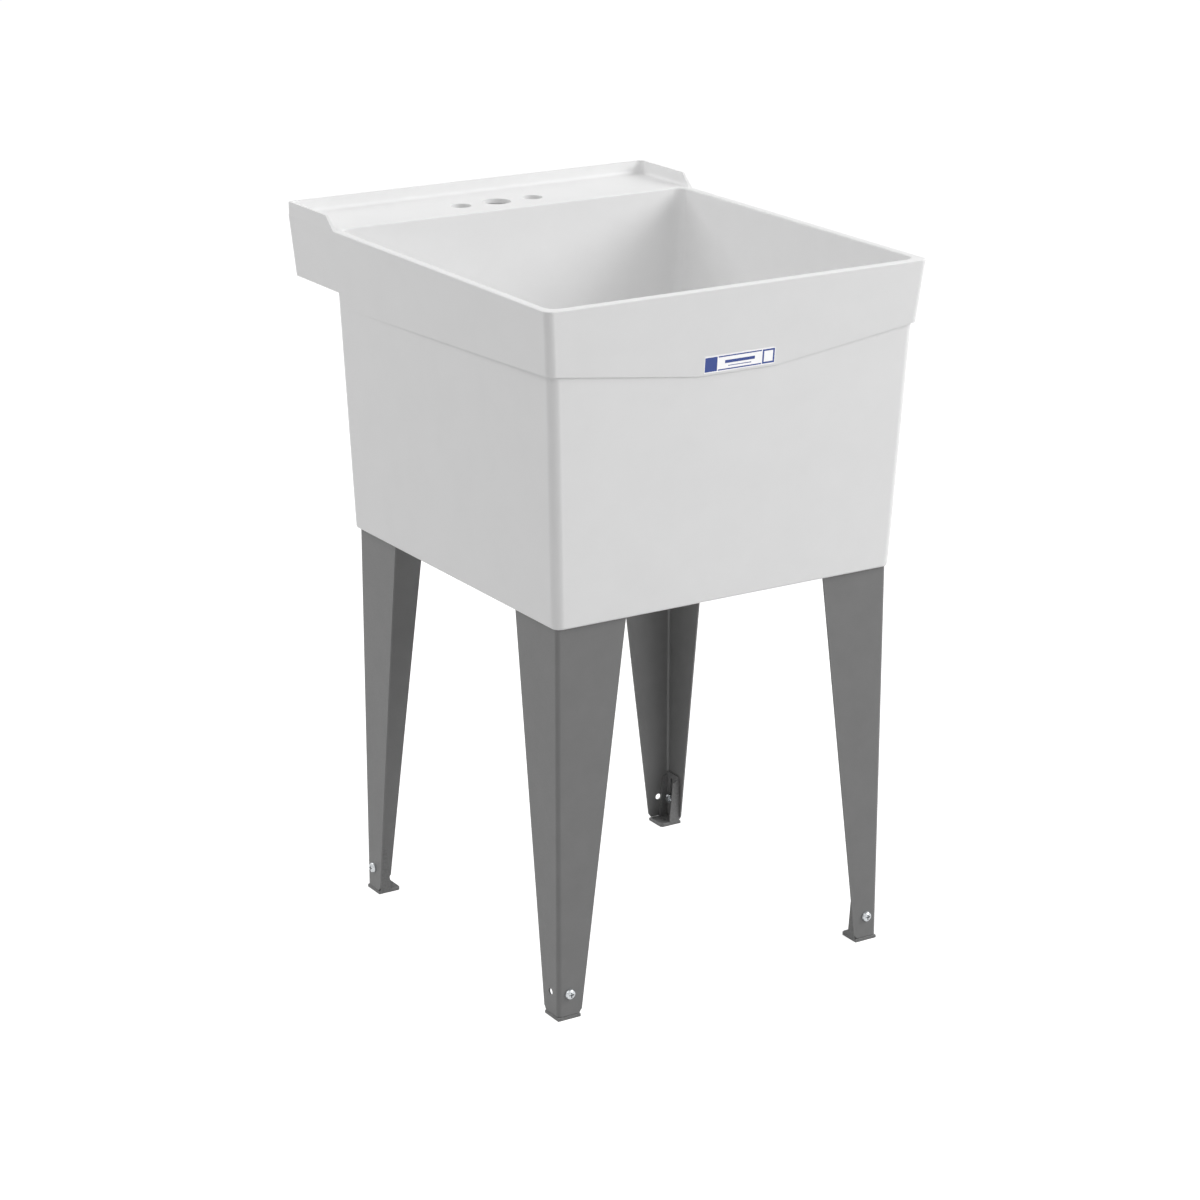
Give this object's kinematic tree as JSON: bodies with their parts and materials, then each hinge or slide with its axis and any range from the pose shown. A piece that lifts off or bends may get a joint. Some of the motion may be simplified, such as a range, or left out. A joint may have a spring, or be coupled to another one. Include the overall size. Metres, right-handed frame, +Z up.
{
  "type": "utility laundry sink",
  "caption": "Free-standing white moulded laundry tub with a deep square basin, a drilled faucet deck with a low backsplash, and tapered grey steel legs on levelling feet.",
  "frame": {"origin": "on the floor under the middle of the overall bounding box", "axes": "+X to the right of a person who stands in front of the sink, +Y towards the wall behind it, +Z up"},
  "size_m": [0.508, 0.6095, 0.862],
  "materials": {
    "tub_composite": "white moulded fibre-reinforced thermoset, satin",
    "leg_steel": "mid-grey paint on folded steel sheet, satin",
    "foot_moulding": "grey glass-filled nylon moulding, matt",
    "zinc_plate": "bright zinc-plated steel",
    "drain_plastic": "white moulded plastic",
    "drain_seal": "natural soft polythene",
    "stopper_rubber": "black moulded rubber"
  },
  "bodies": {
    "sink": {"tub": "tub_composite", "leg_front_left": "leg_steel", "leg_front_right": "leg_steel", "leg_rear_left": "leg_steel", "leg_rear_right": "leg_steel", "foot_bolt_front_left": "zinc_plate", "foot_bolt_front_right": "zinc_plate", "foot_bolt_rear_left": "zinc_plate", "foot_bolt_rear_right": "zinc_plate", "foot_nut_front_left": "zinc_plate", "foot_nut_front_right": "zinc_plate", "foot_nut_rear_left": "zinc_plate", "foot_nut_rear_right": "zinc_plate", "drain_slip_nut": "drain_plastic", "drain_slip_washer": "drain_seal"},
    "front_left_foot": {"foot_front_left": "foot_moulding"},
    "front_right_foot": {"foot_front_right": "foot_moulding"},
    "rear_left_foot": {"foot_rear_left": "foot_moulding"},
    "rear_right_foot": {"foot_rear_right": "foot_moulding"},
    "stopper": {"drain_stopper": "stopper_rubber"}
  },
  "joints": [
    {"name": "foot_front_left_slide", "type": "slide", "parent": "sink", "child": "front_left_foot", "axis": [0, 0, -1], "range_m": [0, 0.024]},
    {"name": "foot_front_right_slide", "type": "slide", "parent": "sink", "child": "front_right_foot", "axis": [0, 0, -1], "range_m": [0, 0.024]},
    {"name": "foot_rear_left_slide", "type": "slide", "parent": "sink", "child": "rear_left_foot", "axis": [0, 0, -1], "range_m": [0, 0.024]},
    {"name": "foot_rear_right_slide", "type": "slide", "parent": "sink", "child": "rear_right_foot", "axis": [0, 0, -1], "range_m": [0, 0.024]},
    {"name": "stopper_lift", "type": "slide", "parent": "sink", "child": "stopper", "axis": [0, 0, 1], "range_m": [0, 0.38]}
  ]
}
